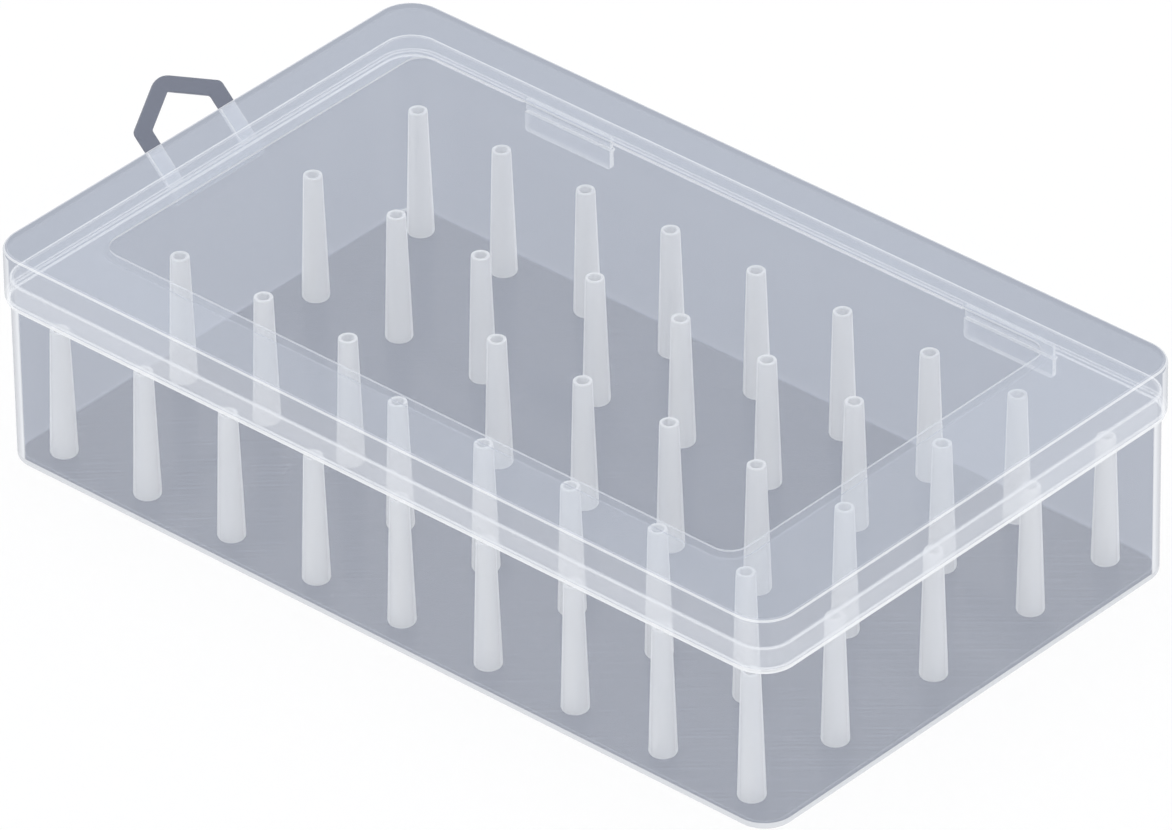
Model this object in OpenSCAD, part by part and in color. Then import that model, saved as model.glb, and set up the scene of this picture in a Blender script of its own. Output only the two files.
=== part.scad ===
// Storage box for thread spools: a clear tray with rows of tapered posts and a hinged lid.
// Origin at the middle of the underside, +X along the length, +Y towards the lid's hinge.

/* [Lid] */
// Length of the lid, outside
lid_length = 274.6; // [245:0.1:300]
// Width of the lid, outside
lid_width = 166.2; // [150:0.1:185]
// Plan radius of the lid's corners
lid_corner = 10.6; // [8:0.1:13]
// Height of the skirt, from its lower edge to the lid's top
skirt_height = 15.4; // [12:0.1:20]
// Thickness of the skirt
skirt_wall = 1.1; // [1:0.1:1.8]
// Thickness of the lid's top
lid_top = 1.5; // [1.2:0.1:2]
// Radius of the edge between the skirt and the top
lid_edge = 1.2; // [0.5:0.1:1.3]
// Depth by which the middle panel is sunk
panel_depth = 0.6; // [0.3:0.1:0.9]
// Margin beside the panel at the long sides
panel_margin_side = 19.8; // [16:0.1:28]
// Margin beside the panel at the loop's end
panel_margin_loop = 22.8; // [16:0.1:32]
// Margin beside the panel at the plain end
panel_margin_end = 29.2; // [16:0.1:32]
// Plan radius of the panel's corners
panel_corner = 6; // [3:0.5:9]

/* [Tray] */
// Height of the tray's rim above the table
rim_height = 57; // [50:0.1:62]
// Gap between the rim and the inside of the skirt
rim_gap = 0.4; // [0.35:0.05:0.6]
// Thickness of the tray's walls
tray_wall = 1.2; // [1:0.1:1.8]
// Thickness of the tray's floor
tray_floor = 1.7; // [1.4:0.1:2.4]
// How far each wall leans in from the rim to the table
tray_draft = 0.2; // [0.1:0.1:1]
// Radius of the tray's bottom edge, outside
foot_radius = 1.2; // [1:0.1:2]
// Radius between the floor and the walls, inside
floor_radius = 0.8; // [0.5:0.1:1.2]
// Overlap of the skirt over the rim
skirt_overlap = 5.7; // [5:0.1:8]
// Height of the bead that the skirt comes down on
bead_height = 1.5; // [1:0.1:2]
// How far the bead stands out from the rim's face
bead_depth = 1.0; // [0.8:0.1:1.4]

/* [Posts] */
// Number of columns of posts along the length
columns = 9; // [5:1:9]
// Number of columns at the loop's end that hold four posts, not five
columns_of_four = 3; // [0:1:5]
// Distance from the lid's end to the outermost columns
end_margin = 15.3; // [12:0.05:20]
// Distance from the lid's side to the outermost rows
side_margin = 12.15; // [10:0.05:16]
// Shift of all the posts along the length, away from the loop
shift_along = -0.7; // [-1.5:0.1:1.5]
// Shift of all the posts across the width, towards the hinge
shift_across = -0.45; // [-1.5:0.05:1.5]
// Distance from the outermost row to the next post in a column of five
step_of_five = 31.8; // [26:0.1:34]
// Distance from the outermost row to the next post in a column of four
step_of_four = 44.6; // [36:0.1:50]
// Further shift of the inner posts of a column of five towards the hinge
inner_shift_of_five = 1.2; // [-2:0.1:2]
// Further shift of the inner posts of a column of four towards the hinge
inner_shift_of_four = 2.3; // [-2:0.1:3]
// Height of a post above the floor
post_height = 39.3; // [30:0.1:42]
// Diameter of a post at its foot
post_foot = 7.7; // [6.5:0.1:8.5]
// Diameter of a post at its top
post_tip = 5.3; // [4.6:0.1:6]
// Thickness of a post's wall
post_wall = 1.0; // [0.7:0.1:1.2]
// Height of the spigot on the floor inside each post
spigot_height = 3; // [2:0.1:5]
// Clearance between a spigot and the post round it
spigot_fit = 0.06; // [0.03:0.01:0.1]

/* [Hinge] */
// Width of each hinge strap
strap_width = 30.8; // [24:0.1:36]
// Distance from the middle to each strap's centre line
strap_place = 78.1; // [60:0.1:90]
// Break in the bead beside a strap
strap_gap = 0.6; // [0.4:0.1:1]
// Height of the line that the hinge folds on, below the skirt
film_drop = 4.3; // [3:0.1:5]
// Height of the leaf on the tray's wall, from the fold down
leaf_height = 5.8; // [5:0.1:9]
// Radius of the leaf's lower corners
leaf_corner = 1; // [0.5:0.1:2.5]
// How far the fold lies outside the skirt's face
film_offset = 0.2; // [0.2:0.05:0.4]
// Radius of the film's round edge, which a strap or the loop turns about
film_radius = 0.5; // [0.4:0.05:0.6]
// Thickness of the film
film_web = 0.6; // [0.4:0.05:0.8]
// Running clearance round the film's edge
film_gap = 0.25; // [0.2:0.05:0.35]

/* [Loop] */
// Width of the hanging loop
loop_width = 34.4; // [28:0.1:40]
// Reach from the fold to the loop's shoulders
loop_shoulder = 18.5; // [15:0.1:24]
// Rise from the shoulders to the loop's peak, before it is rounded
loop_peak = 10.3; // [8:0.1:14]
// Width of the loop's legs
loop_leg = 5.6; // [4:0.1:7]
// Width of the loop's two sloping bars
loop_bar = 4.7; // [3.5:0.1:6]
// Thickness of the loop
loop_thick = 1.2; // [1:0.1:1.6]
// Rounding of the loop's peak, outside
loop_round = 6.5; // [4:0.1:8]
// Rounding of the loop's shoulders, outside
shoulder_round = 2; // [1:0.1:4]
// Rounding of the loop's corners, inside
inner_round = 1; // [0.5:0.1:2]
// Angle of the loop above the level, as it stands at rest
loop_rise = 45; // [30:1:60]
// Shift of the loop along the short wall towards the hinge
loop_shift = 6.0; // [-10:0.1:10]
// Gap between the skirt and the loop when the loop is pushed right up
loop_clear = 0.35; // [0.3:0.05:0.6]
// Height of the line that the loop folds on, below the bead
loop_drop = 1.3; // [0.3:0.1:2]
// Height of the anchor plate under the loop
anchor_height = 5; // [4:0.1:7]

/* [Hidden] */
CURVE = 64;
ARC_STEPS = 6;
CUT = 1;

half_length = lid_length / 2;
half_width = lid_width / 2;
centre_x = half_length - lid_corner;
centre_y = half_width - lid_corner;
rim_corner = lid_corner - skirt_wall - rim_gap;
skirt_bottom = rim_height - skirt_overlap;
lid_height = skirt_bottom + skirt_height;
bead_bottom = skirt_bottom - bead_height;
column_pitch = (lid_length - 2 * end_margin) / (columns - 1);
outer_row = half_width - side_margin;
fold_y = half_width + film_offset;
fold_z = skirt_bottom - film_drop;
loop_x = half_length + loop_clear + loop_thick / 2;
loop_z = bead_bottom - loop_drop;
anchor_face = loop_x - loop_thick / 2 - film_gap;
fold_clear = film_radius + film_gap;

// Places of the posts
function rows_of_four() =
    [-outer_row, inner_shift_of_four - outer_row + step_of_four,
     inner_shift_of_four + outer_row - step_of_four, outer_row];
function rows_of_five() =
    [-outer_row, inner_shift_of_five - outer_row + step_of_five, inner_shift_of_five,
     inner_shift_of_five + outer_row - step_of_five, outer_row];
function rows(column) = column < columns_of_four ? rows_of_four() : rows_of_five();
function column_x(column) = shift_along + (column - (columns - 1) / 2) * column_pitch;
function post_place(column, row) = [column_x(column), shift_across + rows(column)[row], tray_floor];
function post_name(column, row) = str("post_", column + 1, "_", row + 1);
function post_radius(z) = (post_foot + (post_tip - post_foot) * z / post_height) / 2;
POSTS = [for (c = [0 : columns - 1]) for (r = [0 : len(rows(c)) - 1]) [c, r]];

// Distance from a corner's centre out to the tray's outer face, at a height
function tray_face(z) =
    rim_corner - tray_draft * (rim_height - z) / (rim_height - foot_radius);

// Points of a quarter circle about a centre, from one angle to another
function arc(centre, radius, from, to) =
    [for (k = [0 : ARC_STEPS]) let (a = from + (to - from) * k / ARC_STEPS)
        centre + radius * [cos(a), sin(a)]];

// An outline with each corner rounded to its own radius
function unit(v) = v / norm(v);
function short_turn(a) = a > 180 ? a - 360 : a < -180 ? a + 360 : a;
function heading(v) = atan2(v[1], v[0]);
function round_one(before, point, after, radius) =
    let (u = unit(before - point), v = unit(after - point),
         half = acos(u * v) / 2,
         centre = point + unit(u + v) * radius / sin(half),
         start = heading(point + u * radius / tan(half) - centre),
         finish = heading(point + v * radius / tan(half) - centre))
    arc(centre, radius, start, start + short_turn(finish - start));
function rounded(points, radii) =
    let (n = len(points))
    [for (i = [0 : n - 1]) each radii[i] == 0 ? [points[i]]
        : round_one(points[(i + n - 1) % n], points[i], points[(i + 1) % n], radii[i])];

// Carries a profile, drawn as distance out and height, along one side of the box
module side_run(reach, run) {
    translate([reach, run, 0]) rotate([90, 0, 0]) linear_extrude(2 * run) children();
}

// Carries a profile through the four corners of the box
module corner_turns() {
    for (turn = [0, 180]) rotate([0, 0, turn]) {
        translate([centre_x, centre_y, 0]) rotate_extrude(angle = 90, $fn = CURVE) children();
        translate([-centre_x, centre_y, 0]) rotate([0, 0, 90])
            rotate_extrude(angle = 90, $fn = CURVE) children();
    }
}

// Carries a profile all the way round the box
module all_round() {
    corner_turns() children();
    for (turn = [0, 180]) rotate([0, 0, turn]) {
        side_run(centre_x, centre_y) children();
        rotate([0, 0, 90]) side_run(centre_y, centre_x) children();
    }
}

// Section of the tray from a corner's centre outwards: floor, rounded foot and leaning wall
module tray_section() {
    foot = tray_face(foot_radius);
    inside = tray_face(tray_floor + floor_radius) - tray_wall;
    polygon(concat(
        [[0, tray_floor], [0, 0]],
        arc([foot - foot_radius, foot_radius], foot_radius, -90, 0),
        [[rim_corner, rim_height], [rim_corner - tray_wall, rim_height]],
        arc([inside - floor_radius, tray_floor + floor_radius], floor_radius, 0, -90)));
}

// Section of the bead, sunk into the wall behind it
module bead_section() {
    translate([rim_corner - tray_wall / 2, bead_bottom])
        square([tray_wall / 2 + bead_depth, bead_height]);
}

// Bead along the hinge side, broken at the two straps
module hinge_side_bead() {
    opening = strap_width / 2 + strap_gap;
    for (span = [[-centre_x, -strap_place - opening], [opening - strap_place, strap_place - opening],
                 [strap_place + opening, centre_x]])
        translate([span[0], centre_y, 0]) rotate([90, 0, 90])
            linear_extrude(span[1] - span[0]) bead_section();
}

module bead() {
    corner_turns() bead_section();
    for (turn = [0, 180]) rotate([0, 0, turn]) side_run(centre_x, centre_y) bead_section();
    rotate([0, 0, -90]) side_run(centre_y, centre_x) bead_section();
    hinge_side_bead();
}

module floor_spigots() {
    radius = post_radius(spigot_height) - post_wall - spigot_fit;
    for (p = POSTS) translate(post_place(p[0], p[1]) - [0, 0, tray_floor / 2])
        cylinder(h = tray_floor / 2 + spigot_height, r = radius, $fn = CURVE);
}

module base_tray() {
    color([0.72, 0.75, 0.80, 0.45]) {
        all_round() tray_section();
        translate([-centre_x, -centre_y, 0]) cube([2 * centre_x, 2 * centre_y, tray_floor]);
        bead();
        floor_spigots();
    }
}

module spool_post(column, row) {
    inside_low = post_radius(-CUT) - post_wall;
    inside_high = post_radius(post_height + CUT) - post_wall;
    color([0.90, 0.92, 0.96, 0.85]) translate(post_place(column, row)) difference() {
        cylinder(h = post_height, r1 = post_foot / 2, r2 = post_tip / 2, $fn = CURVE);
        translate([0, 0, -CUT])
            cylinder(h = post_height + 2 * CUT, r1 = inside_low, r2 = inside_high, $fn = CURVE);
    }
}

// Section of the lid from a corner's centre outwards: top, rounded edge and skirt
module lid_section() {
    under = lid_height - lid_top;
    polygon(concat(
        [[0, under], [lid_corner - skirt_wall, under], [lid_corner - skirt_wall, skirt_bottom],
         [lid_corner, skirt_bottom]],
        arc([lid_corner - lid_edge, lid_height - lid_edge], lid_edge, 0, 90),
        [[0, lid_height]]));
}

// The sunk panel's plan, drawn larger or smaller by an allowance
module panel_plan(grow) {
    left = panel_margin_loop - half_length - grow;
    right = half_length - panel_margin_end + grow;
    side = half_width - panel_margin_side + grow;
    radius = panel_corner + grow;
    polygon(rounded([[left, -side], [right, -side], [right, side], [left, side]],
                    [radius, radius, radius, radius]));
}

module lid_cover() {
    color([0.76, 0.79, 0.85, 0.40]) {
        all_round() lid_section();
        difference() {
            union() {
                translate([-centre_x, -centre_y, lid_height - lid_top])
                    cube([2 * centre_x, 2 * centre_y, lid_top]);
                translate([0, 0, lid_height - lid_top - panel_depth])
                    linear_extrude(panel_depth + lid_top / 2) panel_plan(lid_top);
            }
            translate([0, 0, lid_height - panel_depth])
                linear_extrude(panel_depth + CUT) panel_plan(0);
        }
    }
}

// The lid's half of a hinge: a strap hanging from the skirt to just above the fold
module hinge_strap(side) {
    foot = fold_z + fold_clear;
    color([0.78, 0.81, 0.87, 0.55])
        translate([side * strap_place - strap_width / 2, half_width - skirt_wall, foot])
            cube([strap_width, skirt_wall, skirt_bottom - foot]);
}

// Space that the tray's leaning wall fills on one side, from its middle outwards
module wall_space(reach, run) {
    side_run(reach, run) polygon([[-CUT, foot_radius], [tray_face(foot_radius), foot_radius],
                                  [rim_corner, rim_height], [-CUT, rim_height]]);
}

// The tray's half of a hinge: a leaf on the wall with the film's round edge at its top
module hinge_leaf(side) {
    top = fold_z + film_web / 2;
    low = fold_z - leaf_height;
    half = strap_width / 2;
    color([0.78, 0.81, 0.87, 0.55]) translate([side * strap_place, 0, 0]) {
        difference() {
            translate([0, half_width, 0]) rotate([90, 0, 0]) linear_extrude(tray_wall + rim_gap + skirt_wall)
                polygon(rounded([[-half, low], [half, low], [half, top], [-half, top]],
                                [leaf_corner, leaf_corner, 0, 0]));
            rotate([0, 0, 90]) wall_space(centre_y, strap_width);
        }
        translate([-half, fold_y, fold_z]) rotate([0, 90, 0])
            cylinder(h = strap_width, r = film_radius, $fn = CURVE);
    }
}

// Outline of the loop in its own plane: across, and out from the fold
module loop_outline() {
    half = loop_width / 2;
    slope = atan(loop_peak / half);
    peak = loop_shoulder + loop_peak;
    inner_half = half - loop_leg;
    inner_peak = peak - loop_bar / cos(slope);
    inner_shoulder = inner_peak - inner_half * tan(slope);
    difference() {
        polygon(rounded([[-half, fold_clear], [half, fold_clear], [half, loop_shoulder],
                         [0, peak], [-half, loop_shoulder]],
                        [0, 0, shoulder_round, loop_round, shoulder_round]));
        polygon(rounded([[-inner_half, fold_clear - CUT], [inner_half, fold_clear - CUT],
                         [inner_half, inner_shoulder], [0, inner_peak], [-inner_half, inner_shoulder]],
                        [0, 0, inner_round, inner_round, inner_round]));
    }
}

module hanging_loop() {
    color([0.58, 0.60, 0.67, 0.8]) translate([-loop_x, loop_shift, loop_z])
        rotate([0, loop_rise - 90, 0]) rotate([90, 0, 90])
            linear_extrude(loop_thick, center = true) loop_outline();
}

// Plate on the tray's short wall with the two films that the loop's legs fold on
module loop_anchor() {
    half = loop_width / 2;
    color([0.78, 0.81, 0.87, 0.55]) translate([0, loop_shift, 0]) {
        difference() {
            translate([-anchor_face, -half, bead_bottom - anchor_height])
                cube([anchor_face - half_length + rim_gap + skirt_wall + tray_wall,
                      loop_width, anchor_height]);
            rotate([0, 0, 180]) wall_space(centre_x, loop_width);
        }
        for (leg = [-half, half - loop_leg]) {
            translate([-loop_x, leg, loop_z - film_web / 2])
                cube([loop_x - anchor_face + film_gap, loop_leg, film_web]);
            translate([-loop_x, leg, loop_z]) rotate([-90, 0, 0])
                cylinder(h = loop_leg, r = film_radius, $fn = CURVE);
        }
    }
}

SIDES = [["left", -1], ["right", 1]];

base_tray();
lid_cover();
hanging_loop();
loop_anchor();
for (s = SIDES) hinge_strap(s[1]);
for (s = SIDES) hinge_leaf(s[1]);
for (p = POSTS) spool_post(p[0], p[1]);
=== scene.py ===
"""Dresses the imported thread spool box: a clear tray with posts, a hinged lid and a hanging loop."""

import math

import bmesh
import bpy
from bpy.props import FloatProperty, FloatVectorProperty, IntProperty, PointerProperty
from bpy.types import Operator, Panel, PropertyGroup
from mathutils import Matrix, Vector


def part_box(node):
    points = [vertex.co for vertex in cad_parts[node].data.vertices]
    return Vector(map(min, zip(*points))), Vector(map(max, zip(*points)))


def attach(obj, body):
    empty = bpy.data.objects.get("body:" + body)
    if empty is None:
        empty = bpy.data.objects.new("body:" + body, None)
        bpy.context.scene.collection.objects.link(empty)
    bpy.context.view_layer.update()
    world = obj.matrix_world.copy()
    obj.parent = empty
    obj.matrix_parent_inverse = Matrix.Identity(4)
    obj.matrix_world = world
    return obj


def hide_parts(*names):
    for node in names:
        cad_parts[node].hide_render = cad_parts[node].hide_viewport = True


bl_info = {
    "name": "Thread Spool Box",
    "version": (1, 0, 0),
    "blender": (4, 5, 0),
    "location": "View3D > Sidebar > Spool Box",
    "description": "Builds a clear thread spool box round its packed CAD parts",
    "category": "Object",
}

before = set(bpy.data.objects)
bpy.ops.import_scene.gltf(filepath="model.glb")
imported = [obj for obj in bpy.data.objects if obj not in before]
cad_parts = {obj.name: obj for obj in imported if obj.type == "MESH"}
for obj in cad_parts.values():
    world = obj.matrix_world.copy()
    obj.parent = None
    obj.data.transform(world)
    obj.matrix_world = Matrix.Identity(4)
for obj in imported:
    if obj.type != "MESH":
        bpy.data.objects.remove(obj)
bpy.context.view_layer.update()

MM = 0.001
# Within these distances, places are the same, heights are the same, and a face is near a height
SAME_PLACE = 1e-7
SAME_HEIGHT = 1e-6
NEAR = 0.1 * MM
UP = Vector((0, 0, 1))
BACK = Vector((0, 1, 0))
_, TRAY_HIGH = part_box("base_tray")
LID_LOW, LID_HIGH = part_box("lid_cover")
STRAP_LOW, STRAP_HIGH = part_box("hinge_strap_right")
POSTS = sorted(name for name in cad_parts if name.startswith("post_"))
FIRST_POST_LOW, FIRST_POST_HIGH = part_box(POSTS[0])

# Material slots, in the order in which each piece is given its plastics
TRAY_WALL, TRAY_RIM, TRAY_FLOOR, TRAY_ROUND, TRAY_SOFT, TRAY_FOOT, TRAY_INNER, TRAY_BAND = range(8)
LID_SKIRT, LID_EDGE, LID_MARGIN, LID_PANEL, LID_ROUND, LID_SOFT, LID_INNER = range(7)
PART_BODY, PART_EDGE, PART_BEYOND = range(3)
OWN_SLOT = -1

# Faces across the roundings, from the panel's corners to the smallest edges
PANEL_STEPS = 8
WIDE_STEPS = 6
FLOOR_STEPS = 3
FINE_STEPS = 2


def length(label, text, value):
    """A length that a user can change, in metres."""
    return FloatProperty(name=label, description=text, default=value, min=0, unit="LENGTH",
                         subtype="DISTANCE", precision=5)


def colour(label, text, value):
    """A colour that a user can change."""
    return FloatVectorProperty(name=label, description=text, default=value, size=3, min=0, max=1,
                               subtype="COLOR")


def share(label, text, value):
    """A share from 0 to 1 that a user can change."""
    return FloatProperty(name=label, description=text, default=value, min=0, max=1,
                         subtype="FACTOR")


class SpoolBoxSizes(PropertyGroup):
    """Sizes of the visible pieces. Their defaults are the CAD model's."""

    lid_length: length("Lid length", "Length of the lid", LID_HIGH.x - LID_LOW.x)
    lid_width: length("Lid width", "Width of the lid", LID_HIGH.y - LID_LOW.y)
    lid_height: length("Lid height", "Height of the lid's top above the table", LID_HIGH.z)
    skirt_bottom: length("Skirt bottom", "Height of the skirt's lower edge", LID_LOW.z)
    lid_corner: length("Lid corner", "Plan radius of the lid's corners", 10.6 * MM)
    lid_edge: length("Lid edge", "Radius between the skirt and the top", 1.2 * MM)
    skirt_wall: length("Skirt wall", "Thickness of the skirt", 1.1 * MM)
    lid_top: length("Lid top", "Thickness of the lid's top", 1.5 * MM)
    panel_depth: length("Panel depth", "Depth of the sunk panel", 0.6 * MM)
    panel_side: length("Panel side margin", "Margin at the long sides", 19.8 * MM)
    panel_loop: length("Panel loop margin", "Margin at the loop's end", 22.8 * MM)
    panel_end: length("Panel end margin", "Margin at the plain end", 29.2 * MM)
    panel_corner: length("Panel corner", "Plan radius of the panel's corners", 6.0 * MM)
    rim_height: length("Rim height", "Height of the tray's rim", TRAY_HIGH.z)
    # The rim's outer part carries a painted highlight
    rim_line: length("Rim line", "Width of the rim's bright outer part", 0.7 * MM)
    rim_gap: length("Rim gap", "Gap between the rim and the skirt", 0.4 * MM)
    tray_wall: length("Tray wall", "Thickness of the tray's walls", 1.2 * MM)
    tray_floor: length("Tray floor", "Thickness of the tray's floor", FIRST_POST_LOW.z)
    tray_draft: length("Tray draft", "How far a wall leans in", 0.2 * MM)
    foot_radius: length("Foot radius", "Radius of the tray's bottom edge", 1.2 * MM)
    # The foot's whiteness is a painted highlight
    foot_band: length("Foot band", "Height of the walls' thick, milky foot", 2.3 * MM)
    floor_radius: length("Floor radius", "Radius between the floor and the walls", 0.8 * MM)
    bead_height: length("Bead height", "Height of the bead under the skirt", 1.5 * MM)
    bead_depth: length("Bead depth", "How far the bead stands out", 1.0 * MM)
    strap_gap: length("Strap gap", "Break in the bead beside a strap", 0.6 * MM)
    post_foot: length("Post foot", "Diameter of a post at its foot", 7.7 * MM)
    post_tip: length("Post tip", "Diameter of a post at its top", 5.3 * MM)
    post_wall: length("Post wall", "Thickness of a post's wall", 1.0 * MM)
    spigot_height: length("Spigot height", "Height of the spigot in a post", 3.0 * MM)
    spigot_fit: length("Spigot fit", "Clearance round a spigot", 0.06 * MM)
    loop_root: length("Loop root", "Length of the loop's milky root", 11.15 * MM)
    fine_edge: length("Fine edge", "Rounding of the small edges", 0.3 * MM)
    corner_steps: IntProperty(name="Corner steps", description="Faces round a corner of the box",
                              default=20, min=4, max=64)
    post_steps: IntProperty(name="Post steps", description="Faces round a post",
                            default=48, min=8, max=96)


class SpoolBoxLooks(PropertyGroup):
    """Colours of the plastics, among them painted highlight, painted light and painted shade, and how
    much of what is behind it one face of each hides.
    """

    wall: colour("Wall", "Tint of the tray's clear walls", (0.63, 0.66, 0.72))
    # Painted light: the walls are tinted lighter inside, to make up for the dimmer light in the box
    inner: colour("Inner wall", "Tint of the walls, seen from inside", (0.84, 0.88, 0.96))
    # Painted shade: the floor's dark tint stands for the shaded table seen through it
    floor: colour("Floor", "Tint of the tray's floor", (0.28, 0.30, 0.355))
    skirt: colour("Skirt", "Tint of the lid's skirt", (0.735, 0.765, 0.83))
    margin: colour("Margin", "Tint of the lid's frosted margin", (0.60, 0.64, 0.715))
    panel: colour("Panel", "Tint of the lid's sunk panel", (0.545, 0.58, 0.65))
    # Painted highlight: white that stands for light caught by the rims, edges, the walls' foot, the
    # bead and glancing corners of the clear plastic
    bright: colour("Bright edge", "Tint of the rims and of glancing corners", (0.95, 0.96, 0.98))
    # Painted shade: the grey that a rounded corner takes where it is seen edge on
    outline: colour("Outline", "Tint of a corner seen edge on", (0.50, 0.52, 0.56))
    post: colour("Post", "Tint of the posts", (0.95, 0.965, 1.0))
    # Painted shade: the real loop is clear plastic, and this dark tint stands for the shade it shows
    loop: colour("Loop", "Tint of the hanging loop", (0.175, 0.19, 0.245))
    wall_cover: share("Wall cover", "How much a wall hides, seen from outside", 0.17)
    inner_cover: share("Inner wall cover", "How much a wall hides, seen from inside", 0.27)
    floor_cover: share("Floor cover", "How much one face of the floor hides", 0.35)
    skirt_cover: share("Skirt cover", "How much the skirt hides, seen from outside", 0.36)
    under_cover: share("Inner skirt cover", "How much the skirt hides, seen from inside", 0.02)
    margin_cover: share("Margin cover", "How much one face of the lid's margin hides", 0.24)
    panel_cover: share("Panel cover", "How much one face of the lid's panel hides", 0.09)
    edge_cover: share("Edge cover", "How much a moulded edge hides", 0.68)
    rim_cover: share("Rim cover", "How much the rim and the bead's lower ledge hide", 0.80)
    soft_cover: share("Soft edge cover", "How much a wide or low edge hides", 0.45)
    band_cover: share("Band cover", "How much the walls' foot and the bead hide", 0.66)
    rim_band_cover: share("Rim band cover", "How much the band under the rim hides", 0.28)
    tab_cover: share("Hinge tab cover", "How much one face of a hinge tab hides", 0.42)
    post_cover: share("Post cover", "How much one face of a post hides", 0.60)
    loop_cover: share("Loop cover", "How much one face of the loop hides", 0.55)


def sizes():
    return bpy.context.scene.spool_box_sizes


def looks():
    return bpy.context.scene.spool_box_looks


# Materials

PLASTIC_IOR = 1.49
SHEEN_SPREAD = 0.2
GLANCE_WIDTH = 0.07
# A face is seen from within where a Fresnel node of this IOR reflects more than this share
WITHIN_IOR = 2.2
WITHIN_SHARE = 0.97
# The sockets of a Mix node that hold colours
MIX_FIRST, MIX_SECOND, MIX_RESULT = 6, 7, 2


def new_node(tree, kind, **values):
    node = tree.nodes.new(kind)
    for key, value in values.items():
        setattr(node, key, value)
    return node


def feed(tree, socket, value):
    """Gives a socket a plain value, or a link from an output."""
    if isinstance(value, bpy.types.NodeSocket):
        tree.links.new(value, socket)
    else:
        socket.default_value = value


def mix_colours(tree, factor, first, second):
    mix = new_node(tree, "ShaderNodeMix", data_type="RGBA")
    feed(tree, mix.inputs[0], factor)
    feed(tree, mix.inputs[MIX_FIRST], first)
    feed(tree, mix.inputs[MIX_SECOND], second)
    return mix.outputs[MIX_RESULT]


def map_range(tree, value, start=0, end=1, low=0, high=1, curve="LINEAR"):
    """Turns what runs from start to end into what runs from low to high."""
    node = new_node(tree, "ShaderNodeMapRange", interpolation_type=curve)
    feed(tree, node.inputs["Value"], value)
    feed(tree, node.inputs["From Min"], start)
    feed(tree, node.inputs["From Max"], end)
    feed(tree, node.inputs["To Min"], low)
    feed(tree, node.inputs["To Max"], high)
    return node.outputs[0]


def calculate(tree, operation, *values):
    node = new_node(tree, "ShaderNodeMath", operation=operation)
    for socket, value in zip(node.inputs, values):
        feed(tree, socket, value)
    return node.outputs[0]


def empty_tree(owner):
    """The node tree of a material or world, with its nodes removed."""
    owner.use_nodes = True
    owner.node_tree.nodes.clear()
    return owner.node_tree


def clear_plastic(name, tint, cover, roughness=0.18, mottle=0.05, grain=18, stretch=1,
                  glance=None, outline=None, outside=False):
    """Moulded polypropylene with a soft mottle. A rounded face takes a painted highlight where it
    glances.

    cover is how much of what is behind it one face hides.
    glance is (where the painted highlight starts, how much a glancing face hides), or None for a flat
    face.
    outline is (where the painted highlight starts to turn to a grey painted shade, where it is grey),
    or None.
    outside is for a face that is clear when it is looked at from inside the plastic.
    """
    material = bpy.data.materials.get(name)
    if material:
        return material
    material = bpy.data.materials.new(name)
    tree = empty_tree(material)
    output = new_node(tree, "ShaderNodeOutputMaterial")
    shader = new_node(tree, "ShaderNodeBsdfPrincipled")
    shader.inputs["IOR"].default_value = PLASTIC_IOR
    shader.inputs["Alpha"].default_value = cover
    tree.links.new(shader.outputs[0], output.inputs["Surface"])

    place = new_node(tree, "ShaderNodeTexCoord")
    spread = new_node(tree, "ShaderNodeMapping")
    spread.inputs["Scale"].default_value = (1, 1, stretch)
    tree.links.new(place.outputs["Object"], spread.inputs["Vector"])
    cloud = new_node(tree, "ShaderNodeTexNoise")
    cloud.inputs["Scale"].default_value = grain
    cloud.inputs["Detail"].default_value = 2
    tree.links.new(spread.outputs[0], cloud.inputs["Vector"])

    darker = (*[c * (1 - mottle) for c in tint], 1)
    lighter = (*[min(1, c * (1 + mottle)) for c in tint], 1)
    paint = mix_colours(tree, cloud.outputs[0], darker, lighter)
    sheen = map_range(tree, cloud.outputs[0], low=roughness * (1 - SHEEN_SPREAD),
                      high=roughness * (1 + SHEEN_SPREAD))
    tree.links.new(sheen, shader.inputs["Roughness"])

    hidden = cover
    if glance:
        highlight_start, glance_cover = glance
        look = looks()
        turn = new_node(tree, "ShaderNodeLayerWeight")
        turn.inputs["Blend"].default_value = 0.5
        facing = turn.outputs["Facing"]
        # Painted highlight: the face turns white where it glances
        glancing_highlight = map_range(tree, facing, highlight_start, highlight_start + GLANCE_WIDTH, curve="SMOOTHSTEP")
        paint = mix_colours(tree, glancing_highlight, paint, (*look.bright, 1))
        # Painted shade: the face turns grey where it is seen edge on
        if outline:
            paint = mix_colours(tree, map_range(tree, facing, *outline), paint, (*look.outline, 1))
        hidden = map_range(tree, glancing_highlight, low=cover, high=glance_cover)
    if outside:
        within = new_node(tree, "ShaderNodeFresnel")
        within.inputs["IOR"].default_value = WITHIN_IOR
        hidden = map_range(tree, within.outputs[0], start=WITHIN_SHARE, low=hidden, high=0)
    feed(tree, shader.inputs["Alpha"], hidden)
    tree.links.new(paint, shader.inputs["Base Color"])
    return material


def wall_plastic():
    look = looks()
    return clear_plastic("clear wall", look.wall, look.wall_cover, outside=True)


def inner_wall_lit_plastic():
    look = looks()
    # Lighter tint than the outer wall: painted light for the dimmer light inside
    return clear_plastic("inner wall", look.inner, look.inner_cover, outside=True)


def round_wall_plastic():
    look = looks()
    # The rounded corners glance into a painted highlight with a painted shade outline
    return clear_plastic("rounded wall", look.wall, look.wall_cover, glance=(0.445, 0.80),
                         outline=(0.55, 0.90), outside=True)


def foot_highlight_plastic():
    look = looks()
    # Painted highlight on the walls' foot and the bead
    return clear_plastic("milky foot", look.bright, look.band_cover, roughness=0.2,
                         mottle=0.03, outside=True)


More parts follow.
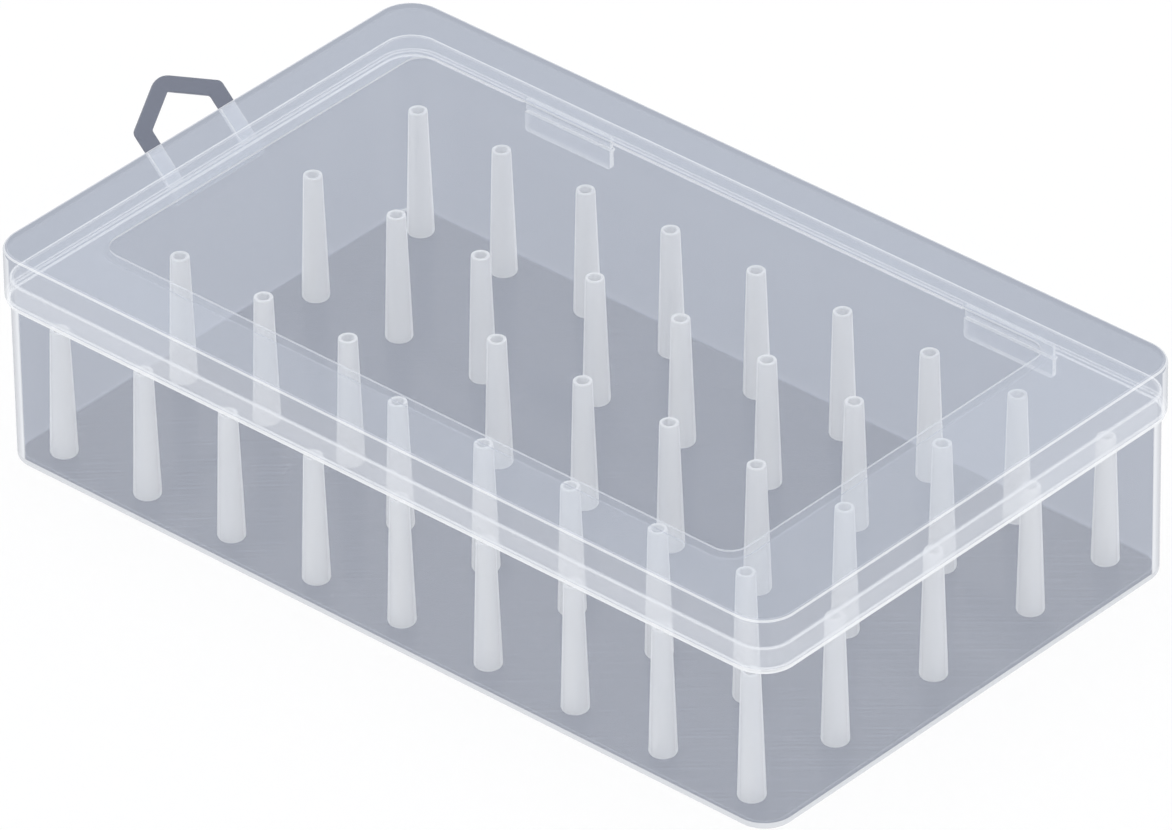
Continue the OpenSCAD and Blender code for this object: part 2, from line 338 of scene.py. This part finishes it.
# Painted highlight on the band under the rim
def rim_band_plastic():
    look = looks()
    return clear_plastic("rim band", look.bright, look.rim_band_cover, roughness=0.2,
                         mottle=0.03, outside=True)


# Painted highlight on the rim, the bead's lower ledge and the tabs' narrow sides
def rim_plastic():
    look = looks()
    return clear_plastic("bright rim", look.bright, look.rim_cover, roughness=0.2,
                         mottle=0.03)


def floor_shaded_plastic():
    look = looks()
    # Dark tint: painted shade of the table under the box
    return clear_plastic("clear floor", look.floor, look.floor_cover, roughness=0.10)


# Painted highlight on moulded edges
def edge_plastic():
    look = looks()
    return clear_plastic("bright edge", look.bright, look.edge_cover, roughness=0.2,
                         mottle=0.03)


# Painted highlight on wide or low edges
def soft_edge_plastic():
    look = looks()
    return clear_plastic("soft edge", look.bright, look.soft_cover, roughness=0.2,
                         mottle=0.03)


def skirt_plastic():
    look = looks()
    return clear_plastic("clear skirt", look.skirt, look.skirt_cover, roughness=0.2,
                         outside=True)


def inner_skirt_plastic():
    look = looks()
    return clear_plastic("inner skirt", look.skirt, look.under_cover, roughness=0.2,
                         outside=True)


def tab_plastic():
    look = looks()
    return clear_plastic("hinge tab", look.skirt, look.tab_cover, roughness=0.2)


def round_skirt_plastic():
    look = looks()
    # The rounded edge glances into a painted highlight with a painted shade outline
    return clear_plastic("rounded skirt", look.skirt, look.skirt_cover, roughness=0.2,
                         glance=(0.55, 0.75), outline=(0.65, 0.95), outside=True)


def margin_plastic():
    look = looks()
    return clear_plastic("frosted margin", look.margin, look.margin_cover, roughness=0.4)


def panel_plastic():
    look = looks()
    return clear_plastic("clear panel", look.panel, look.panel_cover, roughness=0.12)


def post_plastic():
    look = looks()
    # Milky posts, whose glancing sides take a painted highlight
    return clear_plastic("milky post", look.post, look.post_cover, roughness=0.3, mottle=0.06,
                         grain=260, stretch=0.06, glance=(0.50, 0.75))


def loop_shaded_plastic():
    look = looks()
    # Painted shade in place of the clear loop's own tint
    return clear_plastic("grey loop", look.loop, look.loop_cover, roughness=0.25)


def loop_root_plastic():
    look = looks()
    return clear_plastic("loop root", look.skirt, look.tab_cover, roughness=0.25)


# Meshes

# Shares of a face's normal along an axis: it lies across the axis, along it, or is level
ACROSS = 0.5
ALONG = 0.9
LEVEL = 0.99
# How far a corner's face turns from both sides, and the part of the lid's edge that takes a painted
# highlight
CORNER_TURN = 0.03
PAINTED_HIGHLIGHT_PART = (0.5, 0.87)
# The least angles of a rim's edge and of an edge that is softened or shaded sharp
RIM_ANGLE = math.radians(57)
SHARP_ANGLE = math.radians(40)


def box_outline():
    """Middle of a corner's arc, and the rim's corner radius."""
    size = sizes()
    centre_x = size.lid_length / 2 - size.lid_corner
    centre_y = size.lid_width / 2 - size.lid_corner
    return centre_x, centre_y, size.lid_corner - size.skirt_wall - size.rim_gap


def reach(place):
    """How far a place lies outside the rectangle that joins the middles of the corner arcs."""
    centre_x, centre_y, _ = box_outline()
    return math.hypot(max(abs(place.x) - centre_x, 0), max(abs(place.y) - centre_y, 0))


def whole(bm):
    return bm.verts[:] + bm.edges[:] + bm.faces[:]


def each_once(owners, kind):
    """The edges, faces or verts of some parts of a mesh, in order and each of them once."""
    return list(dict.fromkeys(part for owner in owners for part in getattr(owner, kind)))


def only(parts, kind):
    return [part for part in parts if isinstance(part, kind)]


def set_slot(faces, slot):
    for face in faces:
        face.material_index = slot


def at_height(part, height):
    """Whether an edge or a face is level and at a height."""
    return all(abs(v.co.z - height) < SAME_HEIGHT for v in part.verts)


def flat_face(bm, height):
    """The largest face at a height."""
    return max((f for f in bm.faces if at_height(f, height)), key=lambda f: f.calc_area())


def rim_edges(bm, height):
    """The edges at a height where the faces on both sides turn away."""
    return [e for e in bm.edges if at_height(e, height) and e.calc_face_angle(0) > RIM_ANGLE]


def round_off(bm, parts, radius, steps=FINE_STEPS, slot=OWN_SLOT, affect="EDGES", clamp=True):
    """Rounds edges or corner points. clamp keeps a rounding from running past its neighbours."""
    bmesh.ops.bevel(bm, geom=list(parts), offset=radius, offset_type="OFFSET", segments=steps,
                    profile=0.5, affect=affect, material=slot, clamp_overlap=clamp)


def cut(bm, parts, place, normal):
    """Divides parts of a mesh where a plane crosses them."""
    bmesh.ops.bisect_plane(bm, geom=parts, dist=SAME_PLACE, plane_co=place, plane_no=normal)


def inset(bm, face, width):
    bmesh.ops.inset_region(bm, faces=[face], thickness=width, use_even_offset=True)


def sink(bm, face, depth):
    """Pushes a face straight in by a depth, with walls behind it."""
    bmesh.ops.inset_region(bm, faces=[face], thickness=0, depth=-depth, use_even_offset=True)


def rounded_slab(bm, half_x, half_y, radius, low, high, steps):
    """A slab with rounded upright corners. Returns its top face and its bottom face."""
    place = Matrix.Translation((0, 0, (low + high) / 2))
    stretch = Matrix.Diagonal((2 * half_x, 2 * half_y, high - low, 1))
    verts = bmesh.ops.create_cube(bm, size=1, matrix=place @ stretch)["verts"]
    upright = [e for e in each_once(verts, "link_edges")
               if abs(e.verts[0].co.z - e.verts[1].co.z) > (high - low) / 2]
    round_off(bm, upright, radius, steps, clamp=False)
    return flat_face(bm, high), flat_face(bm, low)


def pull_corners(bm, verts, centre_x, centre_y, factor):
    """Draws an outline in or out by changing the radius of its four corners."""
    for side_x in (-1, 1):
        for side_y in (-1, 1):
            corner = [v for v in verts if v.co.x * side_x > 0 and v.co.y * side_y > 0]
            centre = Matrix.Translation((-side_x * centre_x, -side_y * centre_y, 0))
            bmesh.ops.scale(bm, vec=(factor, factor, 1), space=centre, verts=corner)


def mark_skins(bm, radius, rounded, inner):
    """Gives the outer skin's rounded corners and the whole inner skin materials of their own."""
    bm.normal_update()
    for face in bm.faces:
        if face.material_index:
            continue
        turn = min(abs(face.normal.x), abs(face.normal.y))
        if reach(face.calc_center_median()) < radius:
            face.material_index = inner
        elif abs(face.normal.z) < ACROSS and turn > CORNER_TURN:
            face.material_index = rounded


def finish_mesh(bm, name, materials, body, stands_for, weighted=True):
    """Turns a bmesh into a finished piece that rides on its body and stands for its nodes."""
    bmesh.ops.recalc_face_normals(bm, faces=bm.faces)
    for face in bm.faces:
        face.smooth = True
    mesh = bpy.data.meshes.new(name)
    bm.to_mesh(mesh)
    bm.free()
    mesh.set_sharp_from_angle(angle=SHARP_ANGLE)
    for material in materials:
        mesh.materials.append(material)
    piece = bpy.data.objects.new(name, mesh)
    bpy.context.scene.collection.objects.link(piece)
    if weighted:
        even = piece.modifiers.new("even shading", "WEIGHTED_NORMAL")
        even.keep_sharp = True
    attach(piece, body)
    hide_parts(*stands_for)
    return piece


def tray_spigots(bm):
    """A short round spigot on the floor inside each post."""
    size = sizes()
    taper = (size.post_foot - size.post_tip) / 2 / (FIRST_POST_HIGH.z - FIRST_POST_LOW.z)
    radius = size.post_foot / 2 - taper * size.spigot_height - size.post_wall - size.spigot_fit
    for name in POSTS:
        low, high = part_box(name)
        middle = (low + high) / 2
        height = size.tray_floor + size.spigot_height / 2
        bmesh.ops.create_cone(bm, cap_ends=True, cap_tris=False, segments=size.post_steps // 2,
                              radius1=radius, radius2=radius, depth=size.spigot_height,
                              matrix=Matrix.Translation((middle.x, middle.y, height)))


def raise_bead(bm):
    """Raises the bead under the skirt from the tray's outer skin, broken at the hinge straps."""
    size = sizes()
    low = size.skirt_bottom - size.bead_height
    middle = (low + size.skirt_bottom) / 2
    strap = (STRAP_HIGH.x + STRAP_LOW.x) / 2
    half = (STRAP_HIGH.x - STRAP_LOW.x) / 2 + size.strap_gap

    def ring():
        return [f for f in bm.faces
                if abs(f.calc_center_median().z - middle) < size.bead_height / 4]

    def in_break(face):
        centre = face.calc_center_median()
        return centre.y > 0 and abs(abs(centre.x) - strap) < half and face.normal.y > ALONG

    for height in (size.foot_band, low, size.skirt_bottom):
        cut(bm, whole(bm), (0, 0, height), UP)
    for side in (-strap - half, -strap + half, strap - half, strap + half):
        back = [f for f in ring() if f.calc_center_median().y > 0]
        cut(bm, each_once(back, "verts") + each_once(back, "edges") + back, (side, 0, 0), (1, 0, 0))

    raised = [f for f in ring() if not in_break(f)]
    # The bead takes the foot's painted highlight
    set_slot(raised, TRAY_FOOT)
    bmesh.ops.inset_region(bm, faces=raised, thickness=0.01 * MM, depth=size.bead_depth,
                           use_even_offset=True, use_boundary=True)
    outline = [e for e in each_once(raised, "edges") if sum(f in raised for f in e.link_faces) == 1]
    round_off(bm, outline, size.fine_edge, slot=TRAY_FOOT)
    bm.normal_update()
    # The bead's lower ledge takes the rim's painted highlight
    set_slot([f for f in bm.faces if f.normal.z < -ACROSS
              and low - NEAR < f.calc_center_median().z < middle], TRAY_RIM)


def paint_tray(bm, skin_radius):
    """Gives the tray's skins, floor, foot and the band under its rim their materials: painted shade
    on the floor, a painted highlight on the foot and on the band.
    """
    size = sizes()
    mark_skins(bm, skin_radius, TRAY_ROUND, TRAY_INNER)
    for face in bm.faces:
        height = face.calc_center_median().z
        if height < size.tray_floor + NEAR and abs(face.normal.z) > LEVEL:
            face.material_index = TRAY_FLOOR
        # The foot and the band under the rim take painted highlights
        if face.material_index in (TRAY_WALL, TRAY_ROUND):
            if height < size.foot_band:
                face.material_index = TRAY_FOOT
            if height > size.skirt_bottom:
                face.material_index = TRAY_BAND


class OBJECT_OT_spool_tray(Operator):
    """Builds the tray: floor, walls, rim, bead and spigots"""

    bl_idname = "object.spool_tray"
    bl_label = "Tray"

    def execute(self, context):
        size = sizes()
        centre_x, centre_y, corner = box_outline()
        bm = bmesh.new()
        _, bottom = rounded_slab(bm, centre_x + corner, centre_y + corner, corner, 0,
                                 size.rim_height, size.corner_steps)
        lean = size.tray_draft * size.rim_height / (size.rim_height - size.foot_radius)
        pull_corners(bm, bottom.verts, centre_x, centre_y, (corner - lean) / corner)
        # The rounded bottom edge takes the foot's painted highlight
        round_off(bm, bottom.edges, size.foot_radius, WIDE_STEPS, TRAY_FOOT)
        raise_bead(bm)

        top = flat_face(bm, size.rim_height)
        inset(bm, top, size.rim_line)
        # The rim's outer part takes a painted highlight
        set_slot([f for f in bm.faces if f != top and at_height(f, size.rim_height)], TRAY_RIM)
        inset(bm, top, size.tray_wall - size.rim_line)
        sink(bm, top, size.rim_height - size.tray_floor)
        inner = corner - size.tray_wall
        pull_corners(bm, top.verts, centre_x, centre_y, (inner - size.tray_draft) / inner)
        round_off(bm, top.edges, size.floor_radius, FLOOR_STEPS)

        middle = corner - size.tray_wall / 2
        rim = rim_edges(bm, size.rim_height)
        outer = [e for e in rim if reach(e.verts[0].co) > middle]
        # The rim's rounded edges take painted highlights, the inner one softer
        round_off(bm, [e for e in rim if e not in outer], size.fine_edge, slot=TRAY_SOFT)
        round_off(bm, outer, size.fine_edge, slot=TRAY_RIM)
        paint_tray(bm, middle)
        tray_spigots(bm)
        plastics = [wall_plastic(), rim_plastic(), floor_shaded_plastic(), round_wall_plastic(),
                    soft_edge_plastic(), foot_highlight_plastic(), inner_wall_lit_plastic(), rim_band_plastic()]
        finish_mesh(bm, "tray_shell", plastics, "tray", ["base_tray"])
        return {"FINISHED"}


def panel_loop(bm, height, grow):
    """The outline of the lid's sunk panel at a height, as a closed loop of edges alone."""
    size = sizes()
    left = size.panel_loop - size.lid_length / 2 - grow
    right = size.lid_length / 2 - size.panel_end + grow
    side = size.lid_width / 2 - size.panel_side + grow
    place = Matrix.Translation(((left + right) / 2, 0, height))
    stretch = Matrix.Diagonal((right - left, 2 * side, 1, 1))
    before = set(bm.edges)
    verts = bmesh.ops.create_grid(bm, x_segments=1, y_segments=1, size=0.5,
                                  matrix=place @ stretch)["verts"]
    round_off(bm, verts, size.panel_corner + grow, PANEL_STEPS, affect="VERTICES", clamp=False)
    edges = [e for e in bm.edges if e not in before]
    bmesh.ops.delete(bm, geom=edges[0].link_faces[:], context="FACES_ONLY")
    return edges


def sunk_panel(bm, face, grow, way, step_slot):
    """Opens a level face round the panel and sets the panel's floor a step lower.

    way is 1 for a face that looks up, and -1 for one that looks down.
    """
    size = sizes()
    height = face.verts[0].co.z
    outer = list(face.edges)
    bmesh.ops.delete(bm, geom=[face], context="FACES_ONLY")
    loop = panel_loop(bm, height, grow)
    margin = bmesh.ops.triangle_fill(bm, edges=outer + loop, normal=(0, 0, way), use_beauty=True)
    set_slot(only(margin["geom"], bmesh.types.BMFace), LID_MARGIN)
    grown = bmesh.ops.extrude_edge_only(bm, edges=loop)["geom"]
    lowered = only(grown, bmesh.types.BMVert)
    bmesh.ops.translate(bm, vec=(0, 0, -size.panel_depth), verts=lowered)
    set_slot(only(grown, bmesh.types.BMFace), step_slot)
    rim = [e for e in only(grown, bmesh.types.BMEdge) if all(v in lowered for v in e.verts)]
    set_slot(bmesh.ops.edgeloop_fill(bm, edges=rim)["faces"], LID_PANEL)


class OBJECT_OT_spool_lid(Operator):
    """Builds the lid: skirt, rounded edge, frosted margin and sunk panel"""

    bl_idname = "object.spool_lid"
    bl_label = "Lid"

    def execute(self, context):
        size = sizes()
        bm = bmesh.new()
        half_x, half_y = size.lid_length / 2, size.lid_width / 2
        top, _ = rounded_slab(bm, half_x, half_y, size.lid_corner, size.skirt_bottom,
                              size.lid_height, size.corner_steps)
        round_off(bm, top.edges, size.lid_edge, WIDE_STEPS, LID_ROUND)
        bm.normal_update()
        # Part of the rounded top edge takes a painted highlight
        least, most = PAINTED_HIGHLIGHT_PART
        set_slot([f for f in bm.faces if f.material_index == LID_ROUND
                  and least < f.normal.z < most], LID_EDGE)

        bottom = flat_face(bm, size.skirt_bottom)
        inset(bm, bottom, size.skirt_wall)
        under = size.lid_height - size.lid_top
        sink(bm, bottom, under - size.skirt_bottom)
        # The skirt's lower edge takes a painted highlight
        round_off(bm, rim_edges(bm, size.skirt_bottom), size.fine_edge, slot=LID_EDGE)
        mark_skins(bm, size.lid_corner - size.skirt_wall / 2, LID_ROUND, LID_INNER)
        # The panel's step takes the soft edge's painted highlight
        sunk_panel(bm, flat_face(bm, size.lid_height), 0, 1, LID_SOFT)
        sunk_panel(bm, flat_face(bm, under), size.lid_top, -1, LID_MARGIN)
        plastics = [skirt_plastic(), edge_plastic(), margin_plastic(), panel_plastic(),
                    round_skirt_plastic(), soft_edge_plastic(), inner_skirt_plastic()]
        finish_mesh(bm, "lid_shell", plastics, "lid", ["lid_cover"])
        return {"FINISHED"}


def post_profile(bm, middle, low, high):
    """The section of a post's wall, as a closed loop that starts at the foot of its bore."""
    size = sizes()
    foot, tip, wall = size.post_foot / 2, size.post_tip / 2, size.post_wall
    lip = size.fine_edge
    tuck = lip * 0.3
    outline = [(foot - wall, low), (foot - lip / 2, low), (foot, low + lip), (foot, low + 2 * lip),
               (tip, high - lip), (tip - tuck, high - tuck), (tip - lip, high),
               (tip - wall + lip, high), (tip - wall + tuck, high - tuck), (tip - wall, high - lip)]
    verts = [bm.verts.new((middle.x + r, middle.y, z)) for r, z in outline]
    return [bm.edges.new(pair) for pair in zip(verts, verts[1:] + verts[:1])]


class OBJECT_OT_spool_posts(Operator):
    """Builds the hollow tapered posts that the spools stand on"""

    bl_idname = "object.spool_posts"
    bl_label = "Posts"

    def execute(self, context):
        size = sizes()
        for name in POSTS:
            low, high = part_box(name)
            middle = (low + high) / 2
            bm = bmesh.new()
            edges = post_profile(bm, middle, low.z, high.z)
            bmesh.ops.spin(bm, geom=edges, cent=(middle.x, middle.y, 0), axis=UP,
                           angle=2 * math.pi, steps=size.post_steps, use_merge=True)
            bmesh.ops.remove_doubles(bm, verts=bm.verts, dist=SAME_PLACE)
            for face in bm.faces:
                # The tip and foot rings take a painted highlight
                height = face.calc_center_median().z
                if height > high.z - size.fine_edge or height < low.z + 2 * size.fine_edge:
                    face.material_index = PART_EDGE
            finish_mesh(bm, name + "_tube", [post_plastic(), edge_plastic()], "tray", [name],
                        weighted=False)
        return {"FINISHED"}


def softened(node, name, materials, body, radius, root=None, broad=None):
    """A copy of a small CAD part with its edges softened and given a painted highlight, so that they
    catch the light.

    root is (direction, length) for a part whose root, up to that length, is of another plastic.
    broad is the direction that a tab's broad faces look along. Its narrow sides take a painted
    highlight.
    """
    bm = bmesh.new()
    bm.from_mesh(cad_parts[node].data)
    bmesh.ops.remove_doubles(bm, verts=bm.verts, dist=SAME_PLACE)
    bmesh.ops.dissolve_limit(bm, angle_limit=math.radians(1), verts=bm.verts, edges=bm.edges)
    set_slot(bm.faces, PART_BODY)
    if root:
        along, root_length = root
        limit = min(v.co.dot(along) for v in bm.verts) + root_length
        cut(bm, whole(bm), along * limit, along)
    sharp = [e for e in bm.edges if e.calc_face_angle(0) > SHARP_ANGLE]
    # Softened edges take a painted highlight
    round_off(bm, sharp, radius, slot=PART_EDGE)
    bm.normal_update()
    for face in bm.faces:
        if root and face.calc_center_median().dot(along) > limit:
            face.material_index = PART_BEYOND
        # A tab's narrow sides take a painted highlight
        if broad and abs(face.normal.dot(broad)) < ACROSS:
            face.material_index = PART_EDGE
    return finish_mesh(bm, name, materials, body, [node])


class OBJECT_OT_spool_hinges(Operator):
    """Builds the two hinge straps on the lid and the two leaves on the tray"""

    bl_idname = "object.spool_hinges"
    bl_label = "Hinges"

    def execute(self, context):
        edge = sizes().fine_edge
        plastics = [tab_plastic(), rim_plastic()]
        for side in ("left", "right"):
            for part, body in (("strap_", "lid"), ("leaf_", "tray")):
                softened("hinge_" + part + side, part + side, plastics, body,
                         edge, broad=BACK)
        return {"FINISHED"}


class OBJECT_OT_spool_loop(Operator):
    """Builds the hanging loop and the plate that it folds on"""

    bl_idname = "object.spool_loop"
    bl_label = "Hanging loop"

    def execute(self, context):
        size = sizes()
        edge = size.fine_edge
        rising = Vector((-1, 0, 1)).normalized()
        # Beyond its root, the loop wears painted shade
        plastics = [loop_root_plastic(), edge_plastic(), loop_shaded_plastic()]
        softened("hanging_loop", "loop_strip", plastics, "loop", edge,
                 root=(rising, size.loop_root))
        softened("loop_anchor", "loop_plate", [margin_plastic(), edge_plastic()], "tray",
                 edge / 2)
        return {"FINISHED"}


# Stage

PHOTO_WIDTH = 1172
FOCAL_PIXELS = 14760.2
SENSOR_WIDTH = 36.0
VIEW_TURN = math.radians(42.169)
VIEW_RISE = math.radians(33.866)
VIEW_ROLL = math.radians(-0.919)
VIEW_DISTANCE = 3957.9 * MM
VIEW_TARGET = Vector((-28.37, 32.42, 1.716)) * MM
VIEW_END = 50
LAYERS_SEEN = 48

WHITE = (1, 1, 1, 1)
FLOOR_COLOUR = (0.95, 0.95, 0.95, 1)
FLOOR_GLOW = 0.85
# Painted shade: the grey that the floor and backdrop show through the clear plastic
PAINTED_SHADE_BEHIND_PLASTIC = (0.345, 0.37, 0.435, 1)
STUDIO_LIGHT = (0.96, 0.975, 1, 1)
STUDIO_STRENGTH = 0.93
FLOOR_HALF = 6
# Each lamp's name, place, target, width, depth and power
LAMPS = (("top light", (-0.2, 0.1, 1.3), (0, 0, 0), 1.2, 1.0, 2.5),
         ("side light", (1.1, -0.6, 0.8), (0, 0, 0.03), 0.9, 0.7, 1.2),
         ("back light", (-0.9, 1.0, 0.7), (0, 0, 0.03), 0.9, 0.6, 1.2))


def add_camera():
    back = Vector((math.sin(VIEW_TURN) * math.cos(VIEW_RISE),
                   -math.cos(VIEW_TURN) * math.cos(VIEW_RISE), math.sin(VIEW_RISE)))
    right = Vector((math.cos(VIEW_TURN), math.sin(VIEW_TURN), 0))
    up = back.cross(right)
    across = math.cos(VIEW_ROLL) * right + math.sin(VIEW_ROLL) * up
    over = math.cos(VIEW_ROLL) * up - math.sin(VIEW_ROLL) * right
    data = bpy.data.cameras.new("camera")
    data.sensor_width = SENSOR_WIDTH
    data.lens = SENSOR_WIDTH * FOCAL_PIXELS / PHOTO_WIDTH
    data.clip_end = VIEW_END
    camera = bpy.data.objects.new("camera", data)
    turn = Matrix((across, over, back)).transposed().to_4x4()
    camera.matrix_world = Matrix.Translation(VIEW_TARGET + back * VIEW_DISTANCE) @ turn
    bpy.context.scene.collection.objects.link(camera)
    bpy.context.scene.camera = camera


def seen_straight(tree):
    """1 for a ray that shows the backdrop, and 1 for one that has come through the plastic."""
    light = new_node(tree, "ShaderNodeLightPath")
    camera = light.outputs["Is Camera Ray"]
    shown = camera
    for kind in ("Is Glossy Ray", "Is Transmission Ray"):
        shown = calculate(tree, "MAXIMUM", shown, light.outputs[kind])
    layers = calculate(tree, "GREATER_THAN", light.outputs["Transparent Depth"], 0.5)
    return shown, calculate(tree, "MULTIPLY", layers, camera)


def pick_shader(tree, factor, first, second, output):
    pick = new_node(tree, "ShaderNodeMixShader")
    for socket, value in zip(pick.inputs, (factor, first.outputs[0], second.outputs[0])):
        tree.links.new(value, socket)
    tree.links.new(pick.outputs[0], output.inputs["Surface"])


def add_world():
    """Soft even light all round, and a white backdrop that turns grey behind the clear plastic:
    painted shade.
    """
    world = bpy.data.worlds.new("studio")
    bpy.context.scene.world = world
    tree = empty_tree(world)
    output = new_node(tree, "ShaderNodeOutputWorld")
    shown, veiled = seen_straight(tree)
    glow = new_node(tree, "ShaderNodeBackground")
    glow.inputs["Color"].default_value = STUDIO_LIGHT
    glow.inputs["Strength"].default_value = STUDIO_STRENGTH
    backdrop = new_node(tree, "ShaderNodeBackground")
    tone = mix_colours(tree, veiled, WHITE, PAINTED_SHADE_BEHIND_PLASTIC)
    tree.links.new(tone, backdrop.inputs["Color"])
    pick_shader(tree, shown, glow, backdrop, output)


def floor_paint():
    """A pale floor. It is lit, so it keeps the box's shadow, and its glow brings it up to white. Seen
    through the clear plastic it glows grey instead: painted shade.
    """
    material = bpy.data.materials.new("pale floor")
    tree = empty_tree(material)
    output = new_node(tree, "ShaderNodeOutputMaterial")
    _, veiled = seen_straight(tree)
    paint = new_node(tree, "ShaderNodeBsdfDiffuse")
    paint.inputs["Color"].default_value = FLOOR_COLOUR
    glow = new_node(tree, "ShaderNodeEmission")
    tone = mix_colours(tree, veiled, WHITE, PAINTED_SHADE_BEHIND_PLASTIC)
    tree.links.new(tone, glow.inputs["Color"])
    # Behind the plastic the floor is all glow, in the painted shade's grey
    glow_share = calculate(tree, "MULTIPLY_ADD", veiled, 1 - FLOOR_GLOW, FLOOR_GLOW)
    pick_shader(tree, glow_share, paint, glow, output)
    return material


def add_softbox(name, place, target, width, depth, watts):
    data = bpy.data.lights.new(name, "AREA")
    data.shape = "RECTANGLE"
    data.size = width
    data.size_y = depth
    data.energy = watts
    lamp = bpy.data.objects.new(name, data)
    aim = Vector(target) - Vector(place)
    turn = aim.to_track_quat("-Z", "Y").to_matrix().to_4x4()
    lamp.matrix_world = Matrix.Translation(place) @ turn
    bpy.context.scene.collection.objects.link(lamp)


class OBJECT_OT_spool_stage(Operator):
    """Sets the pale floor, the soft studio light and the camera"""

    bl_idname = "object.spool_stage"
    bl_label = "Stage"

    def execute(self, context):
        scene = context.scene
        scene.view_settings.view_transform = "Standard"
        scene.cycles.transparent_max_bounces = LAYERS_SEEN
        add_camera()
        add_world()
        bm = bmesh.new()
        bmesh.ops.create_grid(bm, x_segments=1, y_segments=1, size=FLOOR_HALF)
        mesh = bpy.data.meshes.new("floor")
        bm.to_mesh(mesh)
        bm.free()
        mesh.materials.append(floor_paint())
        floor = bpy.data.objects.new("floor", mesh)
        scene.collection.objects.link(floor)
        for lamp in LAMPS:
            add_softbox(*lamp)
        return {"FINISHED"}


class VIEW3D_PT_spool_box(Panel):
    """Lists the box's pieces and its sizes and looks"""

    bl_idname = "VIEW3D_PT_spool_box"
    bl_label = "Thread Spool Box"
    bl_space_type = "VIEW_3D"
    bl_region_type = "UI"
    bl_category = "Spool Box"

    def draw(self, context):
        column = self.layout.column(align=True)
        for operator in OPERATORS:
            column.operator(operator.bl_idname)
        for group in (context.scene.spool_box_sizes, context.scene.spool_box_looks):
            box = self.layout.box()
            for key in group.__annotations__:
                box.prop(group, key)


OPERATORS = (OBJECT_OT_spool_stage, OBJECT_OT_spool_tray, OBJECT_OT_spool_lid,
             OBJECT_OT_spool_posts, OBJECT_OT_spool_hinges, OBJECT_OT_spool_loop)
CLASSES = (SpoolBoxSizes, SpoolBoxLooks, *OPERATORS, VIEW3D_PT_spool_box)


def register():
    for cls in CLASSES:
        bpy.utils.register_class(cls)
    bpy.types.Scene.spool_box_sizes = PointerProperty(type=SpoolBoxSizes)
    bpy.types.Scene.spool_box_looks = PointerProperty(type=SpoolBoxLooks)


def unregister():
    del bpy.types.Scene.spool_box_looks
    del bpy.types.Scene.spool_box_sizes
    for cls in reversed(CLASSES):
        bpy.utils.unregister_class(cls)


def main():
    register()
    bpy.ops.object.spool_stage()
    bpy.ops.object.spool_tray()
    bpy.ops.object.spool_lid()
    bpy.ops.object.spool_posts()
    bpy.ops.object.spool_hinges()
    bpy.ops.object.spool_loop()


if __name__ == "__main__":
    main()
